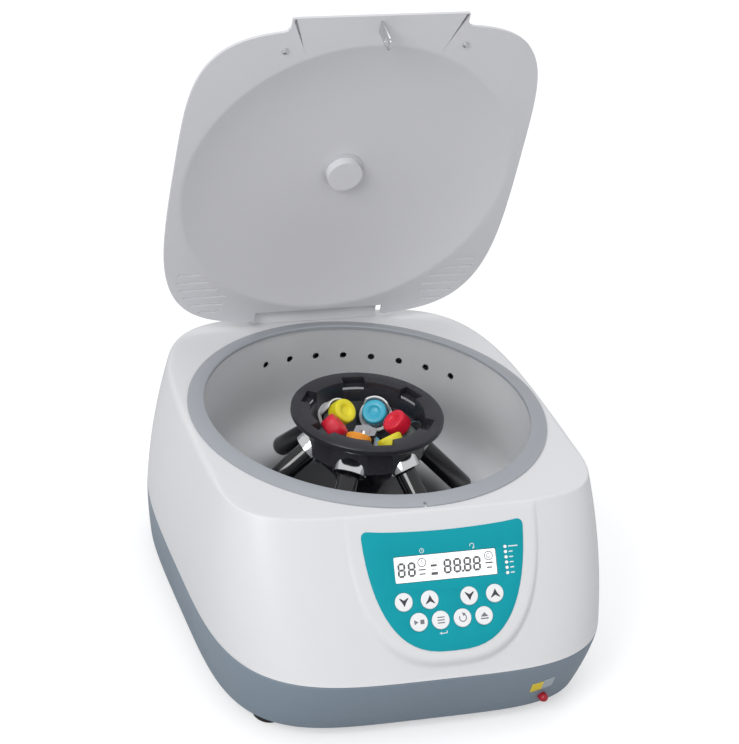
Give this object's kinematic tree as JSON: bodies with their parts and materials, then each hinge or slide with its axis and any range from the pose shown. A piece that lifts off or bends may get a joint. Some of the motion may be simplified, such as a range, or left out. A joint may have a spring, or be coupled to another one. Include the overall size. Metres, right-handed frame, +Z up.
{
  "type": "benchtop tube centrifuge",
  "caption": "Benchtop clinical centrifuge with an open hinged lid, fixed angle tube rotor in a round chamber, sloped control panel and grey base.",
  "frame": {"origin": "middle of the footprint on the table, under the rubber feet", "axes": "+Z up, -Y towards the user at the control panel, +X to the user's right; the lid stands open"},
  "size_m": [0.2902, 0.3496, 0.4377],
  "materials": {
    "white_plastic": "smooth moulded, low sheen",
    "liner_plastic": "matte light grey",
    "grey_plastic": "fine matte blue grey",
    "ring_grey": "matte grey",
    "bowl_steel": "spun satin sheet",
    "label_teal": "printed film",
    "pane_clear": "clear pane",
    "lcd": "pale display",
    "lamp_white": "diffuse",
    "key_white": "smooth",
    "board_green": "coated board",
    "steel": "turned",
    "chrome": "bright",
    "black_metal": "black anodised look",
    "black_plastic": "moulded",
    "shield_black": "glossy black",
    "motor_paint": "satin paint",
    "rubber_black": "matte",
    "coil_brown": "taped winding",
    "red_plastic": "smooth",
    "cap_red": "smooth",
    "cap_cyan": "smooth",
    "cap_yellow": "smooth",
    "cap_orange": "smooth",
    "tube_clear": "clear tube",
    "sleeve_white": "translucent white"
  },
  "bodies": {
    "housing": {"base_shell": "grey_plastic", "top_cover": "white_plastic", "chamber_bowl": "bowl_steel", "chamber_gasket": "ring_grey", "hinge_housing": "white_plastic", "hinge_pin": "steel", "panel_label": "label_teal", "display_pane": "pane_clear", "display_module": "lcd", "status_lamps": "lamp_white", "control_board": "board_green", "motor_plate": "steel", "drive_motor": "motor_paint", "motor_dampers": "rubber_black", "power_board": "board_green", "latch_housing": "black_plastic", "latch_coil": "coil_brown", "power_inlet": "black_plastic", "inlet_pins": "chrome", "switch_bezel": "black_plastic", "rubber_feet": "rubber_black", "case_screws": "steel"},
    "rotor": {"motor_shaft": "steel", "rotor_head": "black_metal", "rotor_nut": "chrome", "shield_collars": "chrome", "socket_inserts": "black_plastic", "tube_shield_1": "shield_black", "tube_shield_2": "shield_black", "tube_shield_3": "shield_black", "tube_shield_4": "shield_black", "tube_shield_5": "shield_black", "tube_shield_6": "shield_black", "sample_tubes": "tube_clear", "tube_cap_1": "cap_red", "tube_cap_2": "cap_cyan", "tube_cap_3": "cap_yellow", "tube_cap_4": "cap_red", "tube_cap_5": "cap_orange", "tube_cap_6": "cap_yellow", "rack_sleeves": "sleeve_white"},
    "lid": {"lid_shell": "white_plastic", "lid_liner": "liner_plastic", "lid_port": "pane_clear", "port_ring": "ring_grey", "latch_plate": "chrome", "lid_screws": "chrome", "hinge_knuckles": "black_plastic"},
    "key_time_down": {"key_time_down": "key_white"},
    "key_time_up": {"key_time_up": "key_white"},
    "key_speed_down": {"key_speed_down": "key_white"},
    "key_speed_up": {"key_speed_up": "key_white"},
    "key_start_stop": {"key_start_stop": "key_white"},
    "key_program": {"key_program": "key_white"},
    "key_short_spin": {"key_short_spin": "key_white"},
    "key_lid_open": {"key_lid_open": "key_white"},
    "latch_bolt": {"latch_bolt": "steel"},
    "power_rocker": {"power_rocker": "black_plastic"},
    "release_pull": {"release_pull": "red_plastic"}
  },
  "joints": [
    {"name": "rotor_spin", "type": "hinge", "parent": "housing", "child": "rotor", "pos_m": [0, 0.02325, 0.13], "axis": [0, 0, 1], "continuous": true},
    {"name": "lid_hinge", "type": "hinge", "parent": "housing", "child": "lid", "pos_m": [0, 0.15585, 0.1695], "axis": [1, 0, 0], "range_deg": [0, 75.5]},
    {"name": "key_time_down_press", "type": "slide", "parent": "housing", "child": "key_time_down", "axis": [0, 0.8071, -0.5905], "range_m": [0, 0.0008], "stiffness_N_per_m": 600},
    {"name": "key_time_up_press", "type": "slide", "parent": "housing", "child": "key_time_up", "axis": [0, 0.8071, -0.5905], "range_m": [0, 0.0008], "stiffness_N_per_m": 600},
    {"name": "key_speed_down_press", "type": "slide", "parent": "housing", "child": "key_speed_down", "axis": [0, 0.8071, -0.5905], "range_m": [0, 0.0008], "stiffness_N_per_m": 600},
    {"name": "key_speed_up_press", "type": "slide", "parent": "housing", "child": "key_speed_up", "axis": [0, 0.8071, -0.5905], "range_m": [0, 0.0008], "stiffness_N_per_m": 600},
    {"name": "key_start_stop_press", "type": "slide", "parent": "housing", "child": "key_start_stop", "axis": [0, 0.8071, -0.5905], "range_m": [0, 0.0008], "stiffness_N_per_m": 600},
    {"name": "key_program_press", "type": "slide", "parent": "housing", "child": "key_program", "axis": [0, 0.8071, -0.5905], "range_m": [0, 0.0008], "stiffness_N_per_m": 600},
    {"name": "key_short_spin_press", "type": "slide", "parent": "housing", "child": "key_short_spin", "axis": [0, 0.8071, -0.5905], "range_m": [0, 0.0008], "stiffness_N_per_m": 600},
    {"name": "key_lid_open_press", "type": "slide", "parent": "housing", "child": "key_lid_open", "axis": [0, 0.8071, -0.5905], "range_m": [0, 0.0008], "stiffness_N_per_m": 600},
    {"name": "latch_bolt_slide", "type": "slide", "parent": "housing", "child": "latch_bolt", "axis": [-1, 0, 0], "range_m": [0, 0.006]},
    {"name": "power_rocker_tip", "type": "hinge", "parent": "housing", "child": "power_rocker", "pos_m": [0.01, 0.16925, 0.031], "axis": [-1, 0, 0], "range_deg": [0, 16]},
    {"name": "release_pull_slide", "type": "slide", "parent": "housing", "child": "release_pull", "axis": [0.2419, -0.9703, 0], "range_m": [0, 0.01]}
  ]
}
